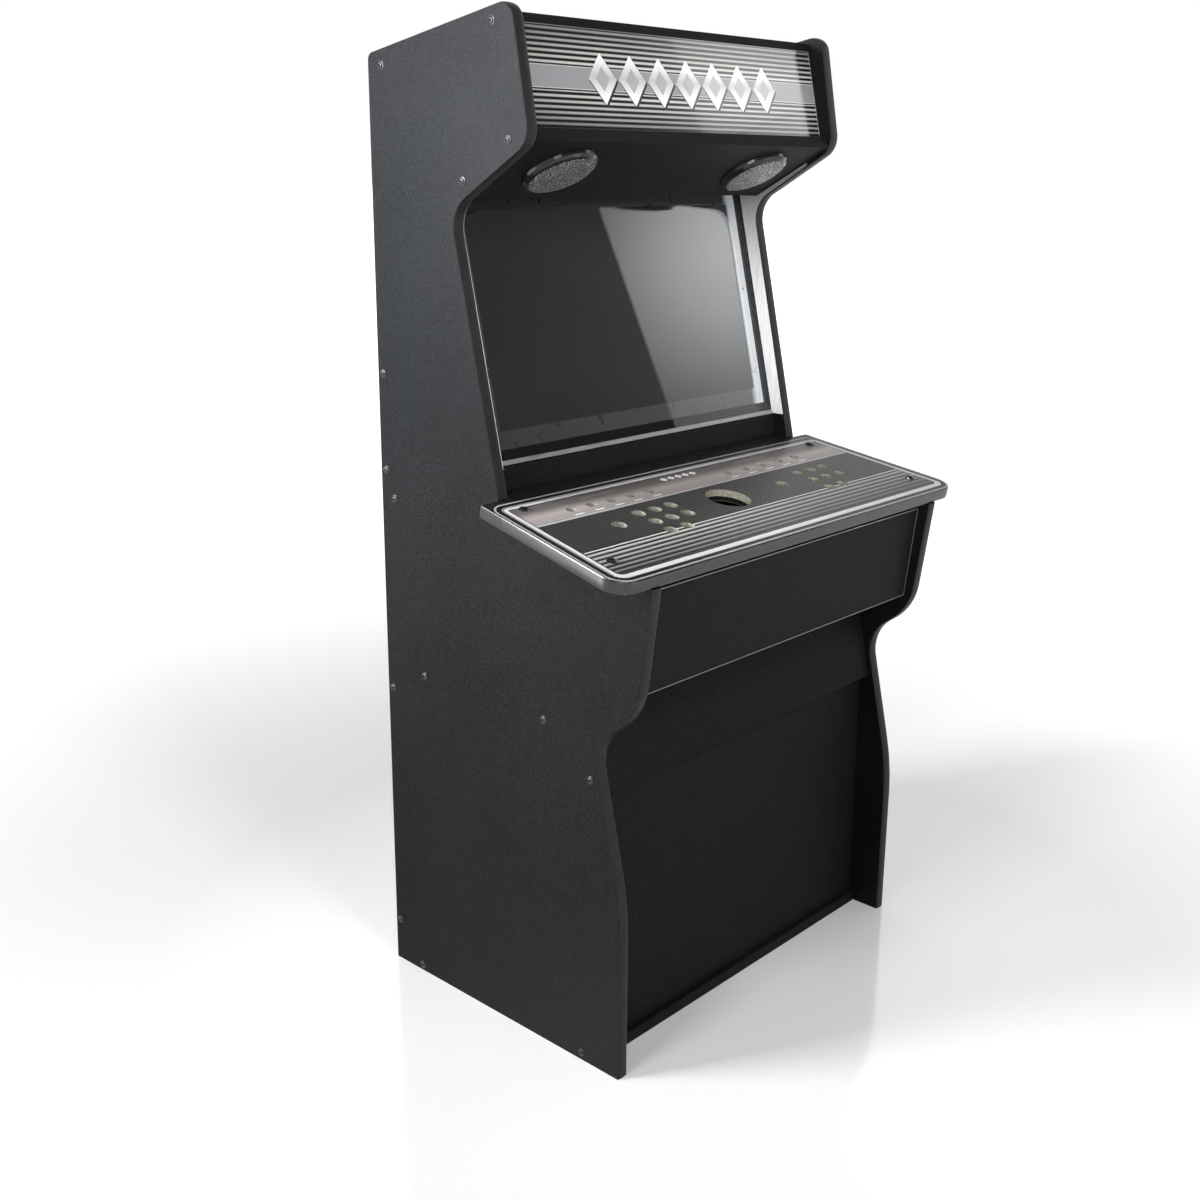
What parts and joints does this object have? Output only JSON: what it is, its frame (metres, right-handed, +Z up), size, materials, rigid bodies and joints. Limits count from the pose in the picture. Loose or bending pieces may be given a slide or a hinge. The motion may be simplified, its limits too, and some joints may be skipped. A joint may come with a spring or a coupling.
{
  "type": "arcade cabinet",
  "caption": "Full-size upright arcade cabinet with an open-holed control panel, sloped screen, marquee, speakers, a drawer under the panel and a locking rear door.",
  "frame": {"origin": "centre of the footprint's bounding box, on the floor", "axes": "+Z up; -Y towards the player at the front; +X to the player's right as they face the cabinet"},
  "size_m": [0.9724, 0.6492, 1.7384],
  "materials": {
    "laminate": "dark grey textured laminate on board",
    "inner": "black laminate on board",
    "molding": "satin",
    "gloss": "gloss",
    "print": "printed overlay on board",
    "mdf": "raw board",
    "steel": "zinc plated",
    "black_steel": "gloss black",
    "aluminium": "satin",
    "clear": "clear polished",
    "screen": "semi-gloss dark panel",
    "bezel": "satin grey",
    "liner": "bright satin sheet",
    "grille": "dark perforated mesh",
    "art": "printed translucent panel",
    "lamp": "white diffuser",
    "plastic": "moulded black"
  },
  "bodies": {
    "cabinet": {"side_panel_left": "laminate", "side_panel_right": "laminate", "edge_molding_front_left": "molding", "edge_molding_front_right": "molding", "edge_molding_upper_left": "molding", "edge_molding_upper_right": "molding", "base_panel": "inner", "lower_front_panel": "inner", "waist_panel": "inner", "internal_shelf": "inner", "drawer_bay_floor": "inner", "control_panel": "print", "control_panel_molding": "gloss", "panel_bolt_front_left": "black_steel", "panel_bolt_front_right": "black_steel", "panel_bolt_rear_left": "black_steel", "panel_bolt_rear_right": "black_steel", "panel_bracket_left": "steel", "panel_bracket_right": "steel", "panel_rail_front": "inner", "panel_rail_rear": "inner", "lower_screen_panel": "inner", "screen_cover": "clear", "cover_retainer": "aluminium", "monitor_bezel": "bezel", "monitor": "screen", "monitor_plate": "steel", "monitor_rail_lower": "mdf", "monitor_rail_upper": "mdf", "side_liner_left": "liner", "side_liner_right": "liner", "top_panel": "inner", "marquee_panel": "art", "speaker_panel": "inner", "speaker_grille_left": "grille", "speaker_grille_right": "grille", "speaker_driver_left": "plastic", "speaker_driver_right": "plastic", "marquee_lamp": "lamp", "slide_outer_left": "steel", "slide_outer_right": "steel", "rear_rail": "laminate", "rear_stile_left": "laminate", "rear_stile_right": "laminate", "back_panel_upper": "laminate", "hinge_upper_fixed": "steel", "hinge_lower_fixed": "steel", "power_socket": "plastic"},
    "door": {"rear_door": "laminate", "hinge_upper_moving": "steel", "hinge_lower_moving": "steel", "lock_barrel": "steel"},
    "lock": {"lock_plug": "steel"},
    "drawer": {"drawer_front": "inner", "drawer_tray": "plastic", "slide_inner_left": "steel", "slide_inner_right": "steel"},
    "rocker": {"power_rocker": "plastic"}
  },
  "joints": [
    {"name": "door_hinge", "type": "hinge", "parent": "cabinet", "child": "door", "pos_m": [0.35575, 0.3213, 0.52], "axis": [0, 0, -1], "range_deg": [0, 110]},
    {"name": "lock_turn", "type": "hinge", "parent": "door", "child": "lock", "pos_m": [-0.335, 0.3178, 0.52], "axis": [0, 1, 0], "range_deg": [0, 90]},
    {"name": "drawer_slide", "type": "slide", "parent": "cabinet", "child": "drawer", "axis": [0, -1, 0], "range_m": [0, 0.28]},
    {"name": "rocker_tilt", "type": "hinge", "parent": "cabinet", "child": "rocker", "pos_m": [0.015, 0.3188, 0.058], "axis": [-1, 0, 0], "range_deg": [0, 16]}
  ]
}
